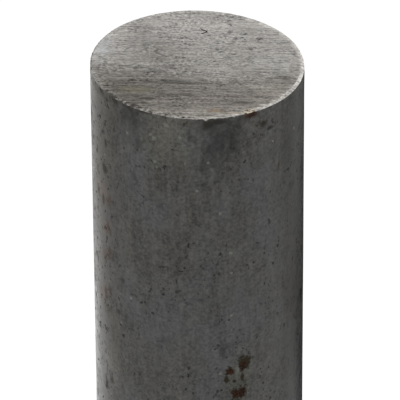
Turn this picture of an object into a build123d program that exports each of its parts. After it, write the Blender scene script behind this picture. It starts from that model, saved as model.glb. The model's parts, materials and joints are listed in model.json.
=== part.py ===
"""A cut length of hot-rolled round steel bar, standing on its foot.

The bar is one solid. Its foot is sawn square, with its edge broken. The other end is sawn a
little out of square, and its rim is dressed by hand: a fine break all round, and two wider
bevels where the grinder dwelt. The origin is the centre of the foot face, with +Z up the bar
and +X to the side where the sawn end is lowest.
"""

from build123d import *
from math import cos, radians, sin, tan
import os

# Driving sizes, in millimetres and degrees.
bar_diameter = 55.0  # a rolled size of EN 10060
bar_length = 300.0  # foot to sawn end, along the longest flank
foot_break = 0.5  # chamfer round the foot
saw_fall = 1.2  # how far the sawn end drops across the bar, towards +X

# The dressed rim. A width is measured across the sawn face, a slope falls below it, a bearing
# runs from +X towards +Y, and a reach is how far a bevel goes to each side before it runs out.
rim_break_width = 0.15
rim_break_slope = 45.0
right_bevel_width = 0.95
right_bevel_bearing = -24.0
right_bevel_reach = 50.0
left_bevel_width = 0.5
left_bevel_bearing = 172.0
left_bevel_reach = 38.0
bevel_slope = 22.0
cutter_overlap = 2.0  # how far a grinding cutter reaches past the metal it removes

bar_radius = bar_diameter / 2

# The saw leaves this plane: highest at -X, where the flank has its full length.
sawn_end = Plane(
    origin=(0, 0, bar_length - saw_fall / 2),
    x_dir=(bar_diameter, 0, -saw_fall),
    z_dir=(saw_fall, 0, bar_diameter),
)


def axis_shift(width, reach):
    """How far a cone's axis moves away from a bevel of this width for it to run out at its reach."""
    return width / (1 - cos(radians(reach)))


def grind_rim(width, slope, bearing=0.0, shift=0.0):
    """Grind the sawn rim with a cone that stands square to the sawn end.

    The bevel has its full width at its bearing. A cone shifted away from there has a circle
    that leaves the rim on both sides of the bevel.
    """
    cone_radius = bar_radius - width + shift
    cone_centre = sawn_end.from_local_coords(
        (-shift * cos(radians(bearing)), -shift * sin(radians(bearing)), 0)
    )
    rise = cutter_overlap * tan(radians(slope))
    outside = width + cutter_overlap
    drop = outside * tan(radians(slope))
    with BuildSketch(Plane(cone_centre, x_dir=sawn_end.x_dir, z_dir=-sawn_end.y_dir)) as cutter:
        with BuildLine():
            Polyline(
                (cone_radius - cutter_overlap, rise),
                (cone_radius + outside, -drop),
                (cone_radius + outside, rise),
                close=True,
            )
        make_face()
    revolve(cutter.sketch, axis=Axis(cone_centre, sawn_end.z_dir), mode=Mode.SUBTRACT)


with BuildPart() as bar:
    with BuildSketch(Plane.XY):
        Circle(bar_radius)
    extrude(amount=bar_length)
    chamfer(bar.edges().group_by(Axis.Z)[0], foot_break)
    split(bisect_by=sawn_end, keep=Keep.BOTTOM)
    grind_rim(rim_break_width, rim_break_slope)
    grind_rim(
        right_bevel_width,
        bevel_slope,
        right_bevel_bearing,
        axis_shift(right_bevel_width, right_bevel_reach),
    )
    grind_rim(
        left_bevel_width,
        bevel_slope,
        left_bevel_bearing,
        axis_shift(left_bevel_width, left_bevel_reach),
    )

bar.part.label = "bar"

os.makedirs("parts", exist_ok=True)
export_step(bar.part, "parts/bar.step")
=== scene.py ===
"""A cut length of hot-rolled round steel bar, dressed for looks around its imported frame."""

import json
from math import atan2, cos, degrees, pi, radians, sin, tan

import bpy
from mathutils import Euler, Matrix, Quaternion, Vector


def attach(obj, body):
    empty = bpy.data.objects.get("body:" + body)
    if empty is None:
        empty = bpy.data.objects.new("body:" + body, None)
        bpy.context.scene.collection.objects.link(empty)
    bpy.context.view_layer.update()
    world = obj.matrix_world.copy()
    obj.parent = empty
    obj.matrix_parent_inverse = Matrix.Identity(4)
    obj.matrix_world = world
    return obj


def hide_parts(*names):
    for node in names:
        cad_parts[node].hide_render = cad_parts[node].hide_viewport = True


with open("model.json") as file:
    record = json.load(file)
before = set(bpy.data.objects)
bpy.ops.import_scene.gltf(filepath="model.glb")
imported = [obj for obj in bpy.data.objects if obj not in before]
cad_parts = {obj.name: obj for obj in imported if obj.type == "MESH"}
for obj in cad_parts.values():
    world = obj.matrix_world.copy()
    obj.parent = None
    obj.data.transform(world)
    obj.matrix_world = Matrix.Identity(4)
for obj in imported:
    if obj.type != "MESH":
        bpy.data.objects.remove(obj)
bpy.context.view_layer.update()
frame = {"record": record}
MM = 0.001  # a millimetre in metres

# ------------------------------------------------------------ sizes from the frame, in metres

mounts = {mount["name"]: mount for mount in frame["record"]["mounts"]}
bar_radius = mounts["shank"]["dims"]["r_mm"] * MM
end_normal = Vector(mounts["sawn_end"]["axis"]).normalized()
burr_room = 0.04 * MM  # the nominal surface lies this far inside the frame, and burrs fill it
skin_radius = bar_radius - burr_room
end_centre = Vector(mounts["sawn_end"]["pos_m"]) - burr_room * end_normal
end_fall = end_normal.x / end_normal.z  # drop of the sawn end for each step towards +X
on_plane = 0.02 * MM  # a point nearer than this to a plane lies on it

# ------------------------------------------------------------ the bar's mesh

columns = 540  # faces round the bar
rim_break = 0.12 * MM  # width of the fine break round the sawn rim
foot_break = 0.5 * MM
bevel_slope = radians(22)  # how steeply the dressed rim falls outwards
ground_bevels = (  # bearing of the middle, width there, reach to each side
    (-24.0, 0.95 * MM, 50.0),
    (172.0, 0.50 * MM, 38.0),
    (-118.0, 0.30 * MM, 48.0),
)
end_rings = 42
foot_rings = 8
head_height = 8 * MM  # the flank just below the rim, which has finer rows
head_rows = 12
flank_rows = 88
torn_bearing = -120  # the front left, where the teeth broke out of the cut

MILL_SCALE, DRESSED_EDGE, SAWN_STEEL = range(3)  # the bar's material slots


def bearing_of(point):
    """Degrees round the bar, from +X towards +Y."""
    return degrees(atan2(point.y, point.x))


def turn_between(a, b):
    """The angle between two bearings, in degrees."""
    return abs((a - b + 180) % 360 - 180)


def rim_width(bearing):
    """Width of the dressed rim: a fine break all round, and wider where it was ground."""
    width = rim_break
    for middle, widest, reach in ground_bevels:
        turn = radians(turn_between(bearing, middle))
        width = max(width, widest * (1 - (1 - cos(turn)) / (1 - cos(radians(reach)))))
    return width


def above_end(point):
    """Height of a point above the sawn plane."""
    return (point - end_centre).dot(end_normal)


def select_only(piece):
    bpy.ops.object.select_all(action="DESELECT")
    piece.select_set(True)
    bpy.context.view_layer.objects.active = piece


def clear_selection(mode):
    """Leave nothing of the active mesh selected, with this select mode, in object mode."""
    bpy.ops.object.mode_set(mode="EDIT")
    bpy.ops.mesh.select_mode(type=mode)
    bpy.ops.mesh.select_all(action="DESELECT")
    bpy.ops.object.mode_set(mode="OBJECT")


def edge_ends(mesh, edge):
    return [mesh.vertices[i].co for i in edge.vertices]


def saw_to_length():
    """A cylinder from the floor up, with its head sawn off on the slant."""
    blank = end_centre.z + 2 * MM
    bpy.ops.object.select_all(action="DESELECT")
    bpy.ops.mesh.primitive_cylinder_add(
        vertices=columns, radius=skin_radius, depth=blank, location=(0, 0, blank / 2)
    )
    piece = bpy.context.active_object
    piece.name = piece.data.name = "round_bar"
    bpy.ops.object.transform_apply(location=True)
    bpy.ops.object.mode_set(mode="EDIT")
    bpy.ops.mesh.select_all(action="SELECT")
    bpy.ops.mesh.bisect(plane_co=end_centre, plane_no=end_normal, use_fill=True, clear_outer=True)
    bpy.ops.object.mode_set(mode="OBJECT")
    return piece


def dress_edges(piece):
    """Bevel the sawn rim by its varying width, and the foot's edge by its own."""
    mesh = piece.data
    widest = max(width for _, width, _ in ground_bevels)
    weights = mesh.attributes.new("bevel_weight_edge", "FLOAT", "EDGE")
    for edge in mesh.edges:
        a, b = edge_ends(mesh, edge)
        if max(abs(above_end(a)), abs(above_end(b))) < on_plane:
            weights.data[edge.index].value = rim_width(bearing_of(a + b)) / widest
        elif max(a.z, b.z) < on_plane:
            weights.data[edge.index].value = foot_break / widest
    bevel = piece.modifiers.new("dressed_edges", "BEVEL")
    bevel.limit_method = "WEIGHT"
    bevel.width = widest
    bevel.segments = 4
    bevel.profile = 0.32  # a flat bevel has 0.25, and a round one 0.5
    bevel.use_clamp_overlap = False
    bpy.ops.object.modifier_apply(modifier=bevel.name)


def slope_the_rim(piece):
    """Squash the head towards the sawn plane, so that the rim's bevels fall at their slope."""
    clear_selection("VERT")
    for vertex in piece.data.vertices:
        vertex.select = vertex.co.z > end_centre.z / 2
    bpy.ops.object.mode_set(mode="EDIT")
    bpy.ops.transform.resize(
        value=(1, 1, tan(bevel_slope)),
        orient_matrix=Vector((0, 0, 1)).rotation_difference(end_normal).to_matrix(),
        constraint_axis=(False, False, True),
        center_override=end_centre,
    )
    bpy.ops.object.mode_set(mode="OBJECT")


def ring_the_end(piece, upward, centre, rings):
    """Divide a flat end into rings round its centre, so that it can be worked."""
    clear_selection("FACE")
    faces = piece.data.polygons
    flat = max(faces, key=lambda face: (face.normal.z * upward > 0.99) * face.area)
    flat.select = True
    bpy.ops.object.mode_set(mode="EDIT")
    for ring in range(rings, 1, -1):
        bpy.ops.mesh.extrude_region()
        bpy.ops.transform.resize(value=[(ring - 1) / ring] * 3, center_override=centre)
    bpy.ops.mesh.poke()
    bpy.ops.object.mode_set(mode="OBJECT")


def row_the_flank(piece):
    """Cut the flank into rows, finer just below the rim."""
    head_foot = end_centre.z - head_height
    bpy.ops.object.mode_set(mode="EDIT")
    bpy.ops.mesh.select_all(action="SELECT")
    bpy.ops.mesh.bisect(plane_co=(0, 0, head_foot), plane_no=(0, 0, 1))
    bpy.ops.object.mode_set(mode="OBJECT")
    for lowest, length, rows in (
        (head_foot - MM, head_height, head_rows),
        (0, head_foot, flank_rows),
    ):
        clear_selection("EDGE")
        for edge in piece.data.edges:
            a, b = edge_ends(piece.data, edge)
            edge.select = min(a.z, b.z) >= lowest and abs(a.z - b.z) > length / 2
        bpy.ops.object.mode_set(mode="EDIT")
        bpy.ops.mesh.subdivide(number_cuts=rows - 1)
        bpy.ops.object.mode_set(mode="OBJECT")


def name_the_finishes(piece):
    """Give each face the finish of its place."""
    for face in piece.data.polygons:
        depth = -above_end(face.center)
        if abs(face.normal.z) > 0.995 and min(depth, face.center.z) < on_plane:
            face.material_index = SAWN_STEEL
        elif abs(face.normal.z) > 0.05:
            face.material_index = DRESSED_EDGE
        else:
            face.material_index = MILL_SCALE


def roughen(piece, name, grain, sink, weight, detail):
    """Sink the surface by clouded noise, as far as a weight from 0 to 1 allows at each vertex."""
    group = piece.vertex_groups.new(name=name)
    for vertex in piece.data.vertices:
        amount = weight(vertex.co)
        if amount > 0:
            group.add([vertex.index], amount, "REPLACE")
    texture = bpy.data.textures.new(name, "CLOUDS")
    texture.noise_scale = 1.0
    texture.noise_depth = detail
    ruler = bpy.data.objects.new(name, None)
    ruler.scale = grain
    bpy.context.scene.collection.objects.link(ruler)
    bpy.context.view_layer.update()
    modifier = piece.modifiers.new(name, "DISPLACE")
    modifier.texture = texture
    modifier.texture_coords = "OBJECT"
    modifier.texture_coords_object = ruler
    modifier.vertex_group = name
    modifier.strength = sink
    modifier.mid_level = 1.0
    select_only(piece)
    bpy.ops.object.modifier_apply(modifier=name)
    piece.vertex_groups.remove(piece.vertex_groups[name])
    bpy.data.objects.remove(ruler)
    bpy.data.textures.remove(texture)


def on_flank(point):
    """1 on the flank, falling to 0 over the last 4 mm before the edge at each end."""
    if point.xy.length < skin_radius - 0.2 * MM:
        return 0
    below_rim = -above_end(point) / MM - 1.2
    above_foot_break = point.z / MM - 0.6
    return min(1, max(0, below_rim) / 4, max(0, above_foot_break) / 4)


def on_sawn_end(point):
    """1 on the sawn end, falling to 0 over the last 1.5 mm before the dressed rim."""
    if above_end(point) < -on_plane:
        return 0
    inside = skin_radius - rim_width(bearing_of(point)) - point.xy.length
    return min(1, max(0, inside / (1.5 * MM)))


def on_rim(point):
    """Above 0 on the dressed rim, and 1 where the teeth broke out of the cut."""
    inside = skin_radius - point.xy.length
    bearing = bearing_of(point)
    if above_end(point) < -1.6 * MM or inside > rim_width(bearing) + 0.1 * MM:
        return 0
    return max(0.4, min(1, 1.6 - turn_between(bearing, torn_bearing) / 40))


def make_bar():
    bar = saw_to_length()
    dress_edges(bar)
    slope_the_rim(bar)
    ring_the_end(bar, 1, end_centre, end_rings)
    ring_the_end(bar, -1, Vector(), foot_rings)
    row_the_flank(bar)
    for finish in (mill_scale(), dressed_edge(), sawn_steel()):
        bar.data.materials.append(finish)
    name_the_finishes(bar)
    roughen(bar, "rolled_skin", (20 * MM,) * 3, 0.06 * MM, on_flank, detail=1)
    roughen(bar, "saw_waves", (24 * MM, 2.2 * MM, 24 * MM), 0.06 * MM, on_sawn_end, detail=2)
    roughen(bar, "ragged_rim", (0.9 * MM,) * 3, 0.4 * MM, on_rim, detail=3)
    bpy.ops.object.shade_smooth_by_angle(angle=radians(24))
    return bar


# ------------------------------------------------------------ finishes

# Stains and painted shade on the flank: turn from the front towards +X, depth below the rim, half
# width and half height, in degrees and millimetres.
RUST_SPOTS = (
    (24.0, 76.2, 1.7, 1.7),
    (17.7, 77.2, 1.4, 1.5),
    (22.3, 84.0, 2.4, 1.8),
    (29.5, 0.8, 2.6, 0.9),
)
RUST_HALOS = (
    (25.3, 75.2, 2.4, 3.1),
    (17.8, 77, 2.0, 2.0),
    (15, 79.6, 0.9, 1.5),
    (19.6, 80.4, 0.8, 0.7),
    (24, 79.8, 0.7, 1.2),
    (22.1, 84.3, 3.4, 2.7),
)
DARK_STAINS_AND_SHADE = (
    # the nib's painted shadow
    (1.0, 0.5, 0.9, 0.4),
    # painted shade and dark reflection under the rim, just right of the front
    (4.8, 1.8, 2.4, 2.0),
    (12, 1.2, 3.4, 1.0),
    # dark stains
    (28.5, 1.0, 3.0, 1.3),
    (37.8, 4.5, 2.1, 1.6),
    (41.7, 6.6, 1.5, 0.9),
    (43.5, 4.6, 0.9, 0.8),
    (41, 0.5, 1.6, 0.4),
    # painted shade just under the rim at the front left
    (-63, 1.0, 1.8, 1.2),
    (-50, 0.9, 2.2, 1.2),
    (-41, 0.8, 2.6, 1.3),
    (-30, 0.5, 3.2, 0.7),
    # dark stains on the left flank
    (-67.5, 9.9, 0.9, 1.1),
    (-59, 10.1, 1.2, 1.3),
    (-50.7, 9.7, 1.1, 1.2),
    (-58.5, 15.7, 1.2, 1.9),
    (-69.5, 16.8, 0.7, 0.7),
    (-60.6, 23.6, 1.8, 2.1),
    (-55.5, 42.0, 0.8, 1.2),
    (-61.4, 41.7, 0.8, 0.8),
    (-57, 49.8, 1.0, 0.8),
    (-56, 65, 1.1, 1.4),
    (-62, 73, 0.7, 0.7),
    (-62.5, 91, 1.0, 1.8),
)
BROWN_STREAKS = (
    (-56.5, 32, 1.4, 3.2),
    (-62.6, 33.4, 1.1, 2.8),
    (-68.5, 31.8, 1.6, 2.2),
    (-57, 40.7, 1.5, 1.8),
    (-56.5, 48, 1.5, 2.6),
    (-56.5, 60.5, 1.2, 2.6),
    (-61.4, 62, 1.2, 2.6),
    (-82, 13, 1.5, 4.5),
    (48.6, 19, 0.5, 3.2),
)
FRECKLES = ((-6.7, 1.9, 2.3, 1.1), (36, 4.2, 3.4, 1.9))  # fine brown rust between dark dots
PALE_CHIPS = ((63.5, 11.5, 0.5, 0.8), (44, 11, 0.35, 0.4))
# where the torn rim gets painted shade in its notches
TORN_RIM = ((-46, 0, 9, 3), (-22, 0, 4.5, 3))
TONES_AND_PAINTED_LIGHT = (  # broad tones, brown patches, and painted light and shade: like the stains, then how strong, which colour
    (-17, 6, 11, 16, 1.0, (86, 85, 79)),
    (-5, 6, 5, 6, 0.7, (84, 84, 82)),
    # painted shade just under the rim at the front left
    (-38, 5, 9, 11, 0.5, (50, 50, 49)),
    (-35.5, 2.5, 4.5, 5, 0.9, (43, 43, 42)),
    # painted shade and dark reflection: a darker band below the rim just right of the front
    (11, 6, 9, 15, 1.0, (48, 48, 47)),
    (14, 6, 4, 8, 0.6, (36, 36, 35)),
    # darker patches on the right
    (63, 59, 7, 16, 0.8, (63, 60, 58)),
    (60, 64, 3, 6, 0.5, (56, 50, 47)),
    # painted light: the right of the flank brighter lower down
    (66, 98, 7, 26, 0.75, (94, 94, 95)),
    # painted shade: the top of the left edge darker, where its highlight is weaker
    (-78, 8, 4, 16, 0.5, (66, 64, 60)),
    # painted highlight: the left of the flank brighter, more so lower down
    (-68, 42, 5, 11, 0.5, (90, 90, 88)),
    (-58, 84, 6, 9, 0.7, (98, 97, 95)),
    # brown patches on the left flank
    (-62, 31, 5, 5.5, 0.7, (82, 72, 65)),
    (-59, 41.2, 2.6, 2.6, 0.9, (72, 54, 41)),
    (-61, 49.9, 2.6, 2.6, 1.0, (68, 47, 38)),
    (-64, 62, 2.8, 2.8, 0.9, (86, 68, 54)),
    (-60, 66.3, 2.8, 2.6, 1.0, (50, 44, 30)),
    # an olive tint and pale chips round the rust cluster
    (22, 79.5, 5.5, 8, 0.6, (70, 70, 62)),
    (21.3, 77.2, 1.3, 2.2, 0.7, (98, 97, 91)),
    (26.3, 79.6, 1.4, 1.3, 0.7, (96, 95, 88)),
)
END_ZONES = (  # centre and half widths along X and Y, how strong, and which colour
    ((-26, 9), (5.5, 10), 0.85, (178, 179, 179)),
    ((-9.5, 5), (7.5, 12), 0.75, (130, 127, 122)),
    ((-14, 12), (6, 14), 0.6, (132, 129, 125)),
    ((20, 1), (9, 9), 0.5, (170, 168, 164)),
    ((10, -6), (15, 3), 0.6, (152, 149, 144)),
    ((5.5, -1), (4, 11), 0.5, (168, 165, 161)),
    ((16, -11), (6.5, 3.5), 0.6, (156, 152, 146)),
    ((-10, 1.6), (13, 2.6), 0.7, (124, 120, 115)),
    ((12.5, 17), (5, 4), 0.6, (136, 133, 129)),
    ((7.5, -19), (9, 2.2), 0.6, (112, 108, 102)),
)
END_NICKS = (  # centre and half widths of the deeper marks
    (9.5, 4.8, 0.9, 0.6),
    (10.1, 13.0, 1.1, 0.6),
    (8.7, 20.0, 0.7, 1.0),
    (8.7, 16.2, 0.8, 0.9),
    (13.5, 7.8, 1.2, 1.0),
    (16.3, 12.8, 1.3, 1.1),
    (12.3, 15.3, 1.0, 0.7),
    (-10.1, 2.0, 0.7, 0.5),
    (-2.1, 1.7, 1.0, 0.4),
    (-6.1, -1.1, 0.9, 0.5),
    (-3.0, -4.1, 1.1, 0.4),
    (-18.3, 11.2, 0.6, 0.5),
    (-10.9, -4.9, 0.6, 0.7),
    (-16.4, -8.9, 1.6, 0.7),
    (-8.4, -8.9, 1.8, 0.8),
    (21.8, -6.3, 2.0, 0.5),
)
END_STREAKS = (  # centre and half widths of long dark streaks
    (-7, -9.8, 16, 1.0),
    (20.5, -6.9, 4, 0.9),
    (17.5, -2.6, 4.5, 0.8),
    (-9.5, -4.5, 4, 0.8),
    (-3.5, -15.4, 7, 0.9),
    (-12.5, -18.0, 3, 0.9),
    (12.0, -19.4, 3, 0.8),
)


class Value:
    """A shader socket. Arithmetic on it adds Math nodes to its finish."""

    def __init__(self, finish, socket):
        self.finish = finish
        self.socket = socket

    def __add__(self, other):
        return self.finish.math("ADD", self, other)

    def __radd__(self, other):
        return self.finish.math("ADD", other, self)

    def __sub__(self, other):
        return self.finish.math("SUBTRACT", self, other)

    def __rsub__(self, other):
        return self.finish.math("SUBTRACT", other, self)

    def __mul__(self, other):
        return self.finish.math("MULTIPLY", self, other)

    def __rmul__(self, other):
        return self.finish.math("MULTIPLY", other, self)


class Nodes:
    """A node tree being filled: one method adds every node."""

    def __init__(self, owner):
        owner.use_nodes = True
        self.tree = owner.node_tree

    def add(self, kind, settings=None, inputs=None):
        """Add a node with its settings, then the values or links of its sockets."""
        node = self.tree.nodes.new(kind)
        for name, value in (settings or {}).items():
            if name == "stops":
                self.set_stops(node.color_ramp, value)
            else:
                setattr(node, name, value)
        for name, value in (inputs or {}).items():
            if isinstance(name, int):
                socket = node.inputs[name]
            else:
                socket = next(s for s in node.inputs if s.enabled and s.name == name)
            self.plug(socket, value)
        return {s.name: Value(self, s) for s in node.outputs if s.enabled}

    def plug(self, socket, value):
        """Link a socket to a value, or set it to a number or colour."""
        if isinstance(value, Value):
            self.tree.links.new(value.socket, socket)
        else:
            socket.default_value = value

    def set_stops(self, ramp, stops):
        while len(ramp.elements) < len(stops):
            ramp.elements.new(0.5)
        for element, (position, colour) in zip(ramp.elements, stops):
            element.position = position
            element.color = colour

    def math(self, operation, *values):
        sockets = dict(enumerate(values))
        return self.add("ShaderNodeMath", {"operation": operation}, sockets)["Value"]

    def rise(self, value, low, high):
        """0 at low, 1 at high, and smooth between them; low may be the larger."""
        return self.add(
            "ShaderNodeMapRange",
            {"interpolation_type": "SMOOTHSTEP"},
            {"Value": value, "From Min": low, "From Max": high},
        )["Result"]

    def mix(self, factor, a, b):
        """Colour a where the factor is 0, and colour b where it is 1."""
        return self.add(
            "ShaderNodeMix", {"data_type": "RGBA"}, {"Factor": factor, "A": a, "B": b}
        )["Result"]

    def brighten(self, colour, amount):
        """A colour times a factor."""
        if not isinstance(colour, Value):
            colour = colour[:3]
        return self.add(
            "ShaderNodeVectorMath", {"operation": "SCALE"}, {"Vector": colour, "Scale": amount}
        )["Vector"]

    def ramp(self, value, *stops):
        return self.add("ShaderNodeValToRGB", {"stops": stops}, {"Fac": value})["Color"]

    def either(self, *masks):
        """The greatest of some masks."""
        total = masks[0]
        for mask in masks[1:]:
            total = self.math("MAXIMUM", total, mask)
        return total


class Finish(Nodes):
    """A material being mixed. Its patterns follow the piece's own coordinates, in millimetres."""

    def __init__(self, name, constants=None):
        self.material = bpy.data.materials.new(name)
        super().__init__(self.material)
        self.surface = self.tree.nodes["Principled BSDF"]
        for socket, value in (constants or {}).items():
            self.feed(socket, value)
        metres = self.add("ShaderNodeTexCoord")["Object"]
        self.place = self.add(
            "ShaderNodeVectorMath", {"operation": "SCALE"}, {"Vector": metres, "Scale": 1 / MM}
        )["Vector"]

    def feed(self, socket, value):
        """Link or set a socket of the surface shader."""
        self.plug(self.surface.inputs[socket], value)

    def axes(self):
        parts = self.add("ShaderNodeSeparateXYZ", inputs={"Vector": self.place})
        return parts["X"], parts["Y"], parts["Z"]

    def stretch(self, grain, start):
        """The place divided by a grain size along X, Y and Z, and shifted."""
        return self.add(
            "ShaderNodeVectorMath",
            {"operation": "MULTIPLY_ADD"},
            {0: self.place, 1: [1 / g for g in grain], 2: (start, start * 0.7, start * 1.3)},
        )["Vector"]

    def noise(self, grain, start, detail=2.0, roughness=0.5):
        """Noise from 0 to 1 whose grain is this many millimetres along X, Y and Z."""
        values = {
            "Vector": self.stretch(grain, start),
            "Scale": 1.0,
            "Detail": detail,
            "Roughness": roughness,
        }
        return self.add("ShaderNodeTexNoise", None, values)["Fac"]

    def flecks(self, grain, size, share):
        """Short dashes, one in some of the cells of this many millimetres along X, Y and Z."""
        wander = self.noise([g * 0.3 for g in grain], 47.0)
        cells = self.add(
            "ShaderNodeTexVoronoi", None, {"Vector": self.stretch(grain, 13.0), "Scale": 1.0}
        )
        chosen = self.add("ShaderNodeSeparateColor", None, {"Color": cells["Color"]})["Red"]
        reach = cells["Distance"] + (wander - 0.5) * 0.35
        return self.rise(reach, size, size * 0.5) * self.rise(chosen, share, share + 0.02)

    def depth(self):
        """Millimetres below the sawn end, straight down."""
        x, _, z = self.axes()
        return end_centre.z / MM - z - x * end_fall

    def oval(self, centre, sizes, wander, soft):
        """1 inside an oval and 0 outside, with an edge that is pushed in by a wandering value."""
        scale = Vector([1 / size for size in sizes])
        offset = self.add(
            "ShaderNodeVectorMath",
            {"operation": "MULTIPLY_ADD"},
            {0: self.place, 1: scale, 2: -scale * Vector(centre)},
        )["Vector"]
        reach = self.add("ShaderNodeVectorMath", {"operation": "LENGTH"}, {0: offset})["Value"]
        return self.rise(reach + wander, 1.0, 1.0 - soft)

    def spot(self, turn, depth, wide, high, wander, soft):
        """An oval on the flank, placed by its turn from the front and its depth below the rim."""
        x = bar_radius / MM * sin(radians(turn))
        y = -bar_radius / MM * cos(radians(turn))
        centre = (x, y, end_centre.z / MM - depth - x * end_fall)
        return self.oval(centre, (wide, wide, high), wander, soft)

    def spots(self, table, wander, soft):
        """1 inside any of the ovals that a table places on the flank."""
        return self.either(*(self.spot(*row, wander, soft) for row in table))

    def end_zone(self, centre, sizes, wander, soft=0.85):
        """An oval on the sawn end, so deep that the slant of the end doesn't change it."""
        deep = 60
        return self.oval((*centre, end_centre.z / MM), (*sizes, deep), wander, soft)

    def end_spots(self, table, wander, soft=0.85):
        """1 inside any of the ovals that a table places on the sawn end."""
        return self.either(*(self.end_zone(row[:2], row[2:], wander, soft) for row in table))

    def wander(self, noise):
        """How far a noise from 0 to 1 pushes the edge of an oval in or out."""
        return (noise - 0.5) * 2.4

    def crust_the_rim(self, colour):
        """Old rust caught on the rim at the front right: pale crust above, red-brown below."""
        ragged = self.wander(self.noise((1.5, 1.5, 1.5), 83.0, detail=4.0, roughness=0.65))
        bits = self.noise((1.0, 0.7, 0.8), 71.0, detail=4.0, roughness=0.7)
        patch = self.spot(28.5, 0.1, 3.0, 1.8, ragged, 0.6)
        pale = self.rise(bits - self.rise(self.depth(), 0.1, 0.45) * 0.35, 0.44, 0.56)
        crust = self.mix(pale, shade(60, 44, 35), shade(204, 194, 174))
        return self.mix(patch * 0.9, colour, crust)

    def notch_the_rim(self, colour):
        """Notches where the saw's teeth tore the rim at the front left, painted dark as the shade
        of their small recesses.
        """
        x, y, _ = self.axes()
        inside = bar_radius / MM - self.math("SQRT", x * x + y * y)
        near = self.rise(inside + self.math("MAXIMUM", self.depth(), 0.0), 2.0, 0.6)
        bits = self.noise((1.2, 1.2, 1.2), 59.0, detail=3.0, roughness=0.6)
        torn = self.spots(TORN_RIM, 0.0, 0.6)
        notches = near * torn * self.rise(bits, 0.44, 0.52)
        # painted shade in the torn notches
        return self.mix(notches * 0.85, colour, shade(58, 55, 50))

    def relief(self, height, rise_mm):
        """Bump the surface by a height from 0 to 1."""
        bumped = self.add("ShaderNodeBump", None, {"Height": height, "Distance": rise_mm * MM})
        self.feed("Normal", bumped["Normal"])


def shade(red, green, blue):
    """A linear colour from display levels of 0 to 255."""
    return (*(((level / 255 + 0.055) / 1.055) ** 2.4 for level in (red, green, blue)), 1)


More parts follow.
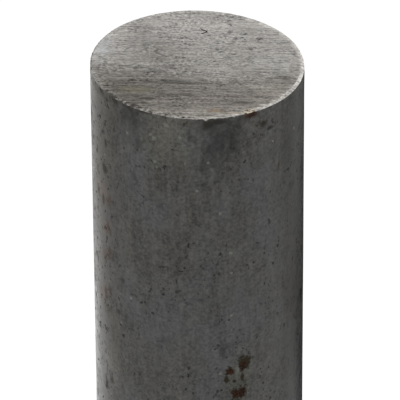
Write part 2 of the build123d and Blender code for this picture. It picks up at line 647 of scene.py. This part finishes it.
def sawn_steel():
    """Bare steel from a band saw: fine straight marks along X, duller where the cut ended."""
    finish = Finish("sawn_steel", {"Metallic": 1.0})
    x, y, _ = finish.axes()

    # Broad tones, from 0 at the front of the cut to 1 at its back.
    waves = finish.noise((30, 4, 30), 3.1)
    across = y * (MM / (2 * bar_radius)) + 0.5 + (waves - 0.5) * 0.16
    base = finish.ramp(
        across,
        (0.0, shade(141, 136, 130)),
        (0.10, shade(130, 125, 119)),
        (0.20, shade(118, 113, 107)),
        (0.31, shade(122, 118, 112)),
        (0.41, shade(147, 144, 139)),
        (0.72, shade(157, 154, 150)),
        (0.88, shade(170, 167, 163)),
        (1.0, shade(150, 147, 143)),
    )
    front = finish.rise(y, 2, -14)
    base = finish.mix(front * finish.rise(x, 4, -24) * 0.75, base, shade(92, 88, 82))
    base = finish.mix(front * finish.rise(x, 6, 24) * 0.5, base, shade(146, 141, 134))
    for place, size, strength, tint in END_ZONES:
        zone = finish.end_zone(place, size, finish.wander(waves) * 0.6)
        base = finish.mix(zone * strength, base, shade(*tint))

    # Marks of the teeth: lines, short scratches and grit, weaker where the cut is smooth.
    lines = finish.noise((70, 0.5, 70), 11.0, detail=2.0, roughness=0.7)
    marks = finish.noise((2.4, 0.6, 2.4), 19.0, detail=2.0, roughness=0.6)
    grit = finish.noise((0.8, 0.6, 0.8), 23.0, detail=2.0, roughness=0.6)
    bands = finish.noise((26, 1.8, 26), 5.0)
    busy = finish.rise(finish.noise((7, 5, 7), 67.0), 0.36, 0.62)
    teeth = finish.math("SINE", (y + (waves - 0.5) * 2.0) * (2 * pi / 1.15))
    sides = finish.rise(finish.math("ABSOLUTE", x - 1.0), 9, 19)
    tone = (
        (lines - 0.5) * (0.5 + front * 0.9 + sides * 0.6)
        + (marks - 0.5) * (1.1 + front * 0.9)
        + (grit - 0.5) * (1.5 + busy * 1.3)
        + (bands - 0.5) * 0.5
        + teeth * (0.015 + sides * 0.06)
    )
    smooth = finish.end_zone((-25.5, 8), (5.5, 8), finish.wander(marks) * 0.5)
    right = finish.rise(x, 4, 16)
    tone = 1.0 + tone * (1.0 - smooth * 0.6) * (1.0 - right * 0.2)

    # Dark nicks and streaks, a dent like an arrowhead, and bright specks.
    nicks = finish.rise(finish.noise((1.3, 0.8, 1.3), 41.0, detail=3.0), 0.60, 0.66) * busy
    nicks = finish.either(nicks, finish.flecks((3.1, 1.7, 300), 0.26, 0.60) * (0.4 + busy * 0.9))
    nicks = nicks * (0.75 - finish.either(front, sides) * 0.5)
    frayed = finish.wander(finish.noise((0.7, 0.5, 0.7), 71.0, detail=2.0)) * 1.2
    deeper = finish.end_spots(END_NICKS, frayed, 0.7)
    nicks = finish.either(nicks, deeper * 0.8)
    streak_edge = finish.wander(finish.noise((3, 0.8, 3), 79.0))
    streaks = finish.end_spots(END_STREAKS, streak_edge)
    specks = finish.rise(finish.noise((0.8, 0.6, 0.8), 97.0), 0.66, 0.74)
    arm = (2.7 - x) * 0.7
    arms = finish.math("ABSOLUTE", finish.math("ABSOLUTE", y - 16.3) - arm)
    dent = finish.rise(arms, 0.36, 0.14)
    dent = dent * finish.rise(arm, -0.1, 0.05) * finish.rise(arm, 1.2, 1.0)
    dark = finish.either(nicks * 0.7, streaks * 0.4, dent)
    tone = tone * (1.0 - dark) + specks * 0.25
    colour = finish.brighten(base, tone)

    # Oil at the front left, rust at the front, and scuffs round the rim, painted brighter towards
    # the right as a highlight.
    oily = finish.end_zone((-16, -14), (5.5, 2.4), finish.wander(waves))
    colour = finish.mix(oily * 0.35, colour, shade(124, 120, 96))
    rusty = finish.either(
        finish.end_zone((4.6, -23.3), (3.6, 1.3), finish.wander(marks)),
        finish.end_zone((9, -24.6), (3.2, 0.9), finish.wander(marks)),
    )
    rusty = rusty * finish.rise(grit + (marks - 0.5) * 0.6, 0.44, 0.54)
    colour = finish.mix(rusty * 0.8, colour, shade(150, 120, 84))
    rim = finish.math("SQRT", x * x + y * y) * (MM / bar_radius)
    scuffs_and_highlight = finish.rise(rim + (marks - 0.5) * 0.1, 0.93, 0.985)
    # painted highlight: the scuffs brighter towards the right
    scuffs_and_highlight = scuffs_and_highlight * (0.25 + finish.rise(x, -4, 16) * 0.6)
    colour = finish.mix(scuffs_and_highlight, colour, finish.brighten(shade(192, 189, 184), tone))
    finish.feed("Base Color", finish.crust_the_rim(finish.notch_the_rim(colour)))
    finish.feed("Roughness", 0.42 + (bands - 0.5) * 0.3 + dark * 0.3)
    finish.relief(lines * 0.3 + marks * 0.3 + grit * 0.4 - dark, 0.06)
    return finish.material


def dressed_edge():
    """Bright steel left by the grinder, scratched across the rim, and painted brighter at the
    right and back as a highlight.
    """
    finish = Finish("dressed_edge", {"Metallic": 1.0})
    x, y, _ = finish.axes()
    marks = finish.noise((2.0, 0.5, 0.7), 7.0, detail=3.0, roughness=0.6)
    grit = finish.noise((0.7, 0.7, 0.7), 29.0, detail=2.0)
    left = finish.rise(x, -2, -12)
    tone = 1.0 + (marks - 0.5) * 1.8 + (grit - 0.5) * (1.8 + left * 2.4)
    # painted highlight: the rim brighter at the right and back
    right = finish.mix(finish.rise(y, -14, -6), shade(184, 181, 176), shade(206, 203, 198))
    colour = finish.mix(left, right, shade(148, 146, 142))
    colour = finish.brighten(colour, finish.math("MAXIMUM", tone, 0.15))
    finish.feed("Base Color", finish.crust_the_rim(finish.notch_the_rim(colour)))
    finish.feed("Roughness", 0.34 + marks * 0.2)
    finish.relief(marks * 0.6 + grit * 0.4, 0.08)
    return finish.material


def mill_scale():
    """Dark oxide from the rolling mill, mottled, pitted and faintly streaked along the bar, with
    painted light and shade in places.
    """
    finish = Finish("mill_scale")
    x, _, _ = finish.axes()
    left = finish.rise(x, -13, -24)

    # Mottling, as a factor on the colour.
    fine = finish.noise((0.85, 0.85, 0.85), 2.0, detail=3.0, roughness=0.65)
    streaks = finish.noise((1.3, 1.3, 16), 9.0, detail=3.0, roughness=0.6)
    blotches = finish.noise((3.2, 3.2, 4.0), 31.0, detail=4.0, roughness=0.65)
    clouds = finish.noise((13, 13, 19), 17.0, detail=2.0)
    tone = (
        1.0
        + (fine - 0.5) * 2.0
        + (streaks - 0.5) * 0.8
        + (blotches - 0.5) * 1.3
        + (clouds - 0.5) * 1.1
    )
    busy = finish.either(finish.rise(finish.noise((8, 8, 10), 37.0), 0.42, 0.6), left)
    pits = finish.rise(finish.noise((1.1, 1.1, 1.2), 53.0), 0.60, 0.70) * busy
    smudges = finish.noise((4.2, 4.2, 5.0), 61.0, detail=5.0, roughness=0.6)
    smudges = finish.rise(smudges, 0.56, 0.74) * (0.7 + left * 0.6)
    tone = tone * (1.0 - pits * 0.6) * (1.0 - smudges * 0.5)

    # Broad tones with painted light and shade among them, and pale specks, most of them where the
    # scale is olive.
    uneven = finish.wander(blotches)
    olive = finish.spot(-17, 6, 11, 16, uneven, 0.9)
    specks = finish.flecks((2.9, 2.9, 2.9), 0.2, 0.8)
    specks = specks + finish.flecks((3.3, 3.3, 3.3), 0.24, 0.3) * olive
    specks = specks * finish.rise(x, 12, 8)
    base = finish.mix(finish.rise(clouds, 0.35, 0.65), shade(76, 75, 72), shade(70, 70, 70))
    # broad tones, brown patches, and painted light and shade, from the table
    for *spot, strength, tint in TONES_AND_PAINTED_LIGHT:
        zone = finish.spot(*spot, uneven * 0.7, 0.9)
        base = finish.mix(zone * strength, base, shade(*tint))
    colour = finish.brighten(base, tone)
    colour = finish.mix(specks * 0.5, colour, shade(124, 125, 116))

    # Chips, streaks, stains with some painted shade among them, and rust, each over the last.
    ragged = finish.wander(finish.noise((2.6, 2.6, 2.6), 83.0, detail=4.0, roughness=0.65))
    chips = finish.spots(PALE_CHIPS, ragged, 0.5)
    colour = finish.mix(chips * 0.6, colour, shade(130, 130, 126))
    brown_streaks = finish.spots(BROWN_STREAKS, ragged, 0.9)
    dark_stains_and_shade = finish.spots(DARK_STAINS_AND_SHADE, ragged, 0.9)
    colour = finish.mix(brown_streaks * 0.7, colour, shade(64, 47, 35))
    crumbled = ragged * 0.9 + (fine - 0.5) * 1.4
    halos = finish.spots(RUST_HALOS, crumbled, 0.6)
    colour = finish.mix(halos * 0.8, colour, shade(44, 38, 20))
    speckle = finish.noise((0.8, 0.8, 0.9), 101.0, detail=2.0)
    freckles = finish.spots(FRECKLES, ragged, 0.8)
    brown_dots = freckles * finish.rise(speckle, 0.50, 0.58)
    dark_dots = freckles * finish.rise(speckle, 0.50, 0.42)
    colour = finish.mix(brown_dots * 0.6, colour, shade(82, 74, 58))
    colour = finish.mix(dark_dots * 0.8, colour, shade(38, 34, 26))
    # dark stains, with the painted shade under the rim and the nib's painted shadow
    colour = finish.mix(dark_stains_and_shade * 0.8, colour, shade(38, 36, 30))
    rust = finish.spots(RUST_SPOTS, ragged, 0.5)
    rust = rust * (0.55 + finish.rise(speckle, 0.3, 0.5) * 0.45)
    rust_tone = finish.mix(finish.rise(speckle, 0.4, 0.62), shade(34, 18, 12), shade(66, 43, 31))
    colour = finish.mix(rust, colour, rust_tone)

    # Bare steel just below the rim, and one small nib at the front.
    torn = finish.noise((1.0, 1.0, 0.7), 113.0, detail=3.0, roughness=0.65)
    bare = finish.rise(finish.depth() + (torn - 0.5) * 2.2, 0.35, 0.05)
    nib = finish.spot(4.2, 0.3, 0.75, 0.5, finish.wander(torn), 0.4)
    bare = finish.either(bare * 0.8, nib)
    colour = finish.mix(bare, colour, finish.brighten(shade(150, 147, 142), tone))
    finish.feed("Base Color", finish.crust_the_rim(finish.notch_the_rim(colour)))
    finish.feed("Metallic", 0.6 + finish.either(rust, halos, bare) * 0.3)
    dull = finish.either(smudges * 0.6, pits, dark_stains_and_shade * 0.8, brown_streaks * 0.6, rust, halos)
    finish.feed("Roughness", 0.33 + (blotches - 0.5) * 0.4 + (fine - 0.5) * 0.2 + dull * 0.4)
    finish.relief(fine * 0.35 + blotches * 0.3 - pits * 0.8 + rust * 0.4, 0.045)
    return finish.material


bar = make_bar()
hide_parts("bar")
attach(bar, "root")

# ------------------------------------------------------------ floor, light and camera


def seen_directly(nodes):
    """1 for what the camera, gloss and glass see, and 0 for the light that falls on the bar."""
    path = nodes.add("ShaderNodeLightPath")
    rays = ("Is Camera Ray", "Is Glossy Ray", "Is Transmission Ray")
    return nodes.either(*(path[ray] for ray in rays))


def light_world():
    world = bpy.data.worlds.new("studio")
    nodes = Nodes(world)
    background = nodes.tree.nodes["Background"]
    nodes.plug(background.inputs["Color"], (1, 1, 1, 1))
    nodes.plug(background.inputs["Strength"], 0.5 + seen_directly(nodes) * 0.5)
    bpy.context.scene.world = world


def lay_sheet(name, corner_a, corner_b, height, finish):
    """A flat sheet over the floor between two corners."""
    bpy.ops.object.select_all(action="DESELECT")
    bpy.ops.mesh.primitive_plane_add(size=1)
    sheet = bpy.context.active_object
    sheet.name = name
    a = Vector(corner_a)
    b = Vector(corner_b)
    sheet.scale = (*(b - a), 1)
    sheet.location = (*((a + b) / 2), height)
    sheet.data.materials.append(finish.material)
    return sheet


def lay_floor():
    """A pale floor that shows white and keeps the bar's shadow."""
    finish = Finish(
        "pale_floor",
        {
            "Base Color": (0.8, 0.8, 0.8, 1),
            "Roughness": 0.9,
            "Specular IOR Level": 0.0,
            "Emission Strength": 1.0,
        },
    )
    glow = finish.brighten((0.64, 0.64, 0.64), seen_directly(finish))
    finish.feed("Emission Color", glow)
    lay_sheet("floor", (-6, -6), (6, 6), 0, finish)


def lay_card(name, corner_a, corner_b, height, colour):
    """A glowing card just over the floor, which only gloss sees: a painted reflection."""
    finish = Finish(
        name,
        {
            "Base Color": (0, 0, 0, 1),
            "Specular IOR Level": 0.0,
            "Emission Color": (*colour, 1),
            "Emission Strength": 1.0,
        },
    )
    card = lay_sheet(name, corner_a, corner_b, height, finish)
    card.visible_camera = False
    card.visible_diffuse = False
    card.visible_shadow = False
    card.visible_transmission = False


def hang_lamp(name, place, size, watts, target=(0, 0, 0.25)):
    data = bpy.data.lights.new(name, "AREA")
    data.shape = "RECTANGLE"
    data.size, data.size_y = size
    data.energy = watts
    lamp = bpy.data.objects.new(name, data)
    bpy.context.scene.collection.objects.link(lamp)
    lamp.location = place
    aim = Vector(target) - Vector(place)
    lamp.rotation_euler = aim.to_track_quat("-Z", "Y").to_euler()
    lamp.visible_camera = False


def place_camera():
    """A long lens, above the bar and in front of it, that looks down on the sawn end."""
    away = 1.0781
    above = 0.6307  # over the sawn end
    down, aside, roll = radians(31.931), radians(-0.026), radians(-0.372)
    data = bpy.data.cameras.new("camera")
    data.lens = 439.6
    data.sensor_width = 36
    camera = bpy.data.objects.new("camera", data)
    bpy.context.scene.collection.objects.link(camera)
    camera.location = (0, -away, end_centre.z + above)
    aim = Euler((pi / 2 - down, 0, aside)).to_quaternion()
    camera.rotation_mode = "QUATERNION"
    camera.rotation_quaternion = aim @ Quaternion((0, 0, 1), roll)
    bpy.context.scene.camera = camera


light_world()
lay_floor()
# Painted reflections: a warm bright card at the left, a grey one at the right, and a nearly black
# one at the back right that stands in for shade on the floor.
lay_card("left_card", (-1.6, 0.0), (-0.26, 1.2), 0.001, (0.76, 0.73, 0.68))
lay_card("right_card", (0.03, 0.06), (1.6, 2.5), 0.001, (0.5, 0.5, 0.49))
lay_card("shade_reflection_card", (0.0, 0.20), (0.30, 2.5), 0.002, (0.02, 0.02, 0.02))
hang_lamp("left_softbox", (-1.2, -0.4, 0.9), (0.7, 0.7), 1.5)
hang_lamp("left_glow", (-0.17, 0.19, 0.004), (0.26, 0.30), 0.08, target=(-0.17, 0.19, 1))
place_camera()
bpy.context.scene.view_settings.view_transform = "Standard"
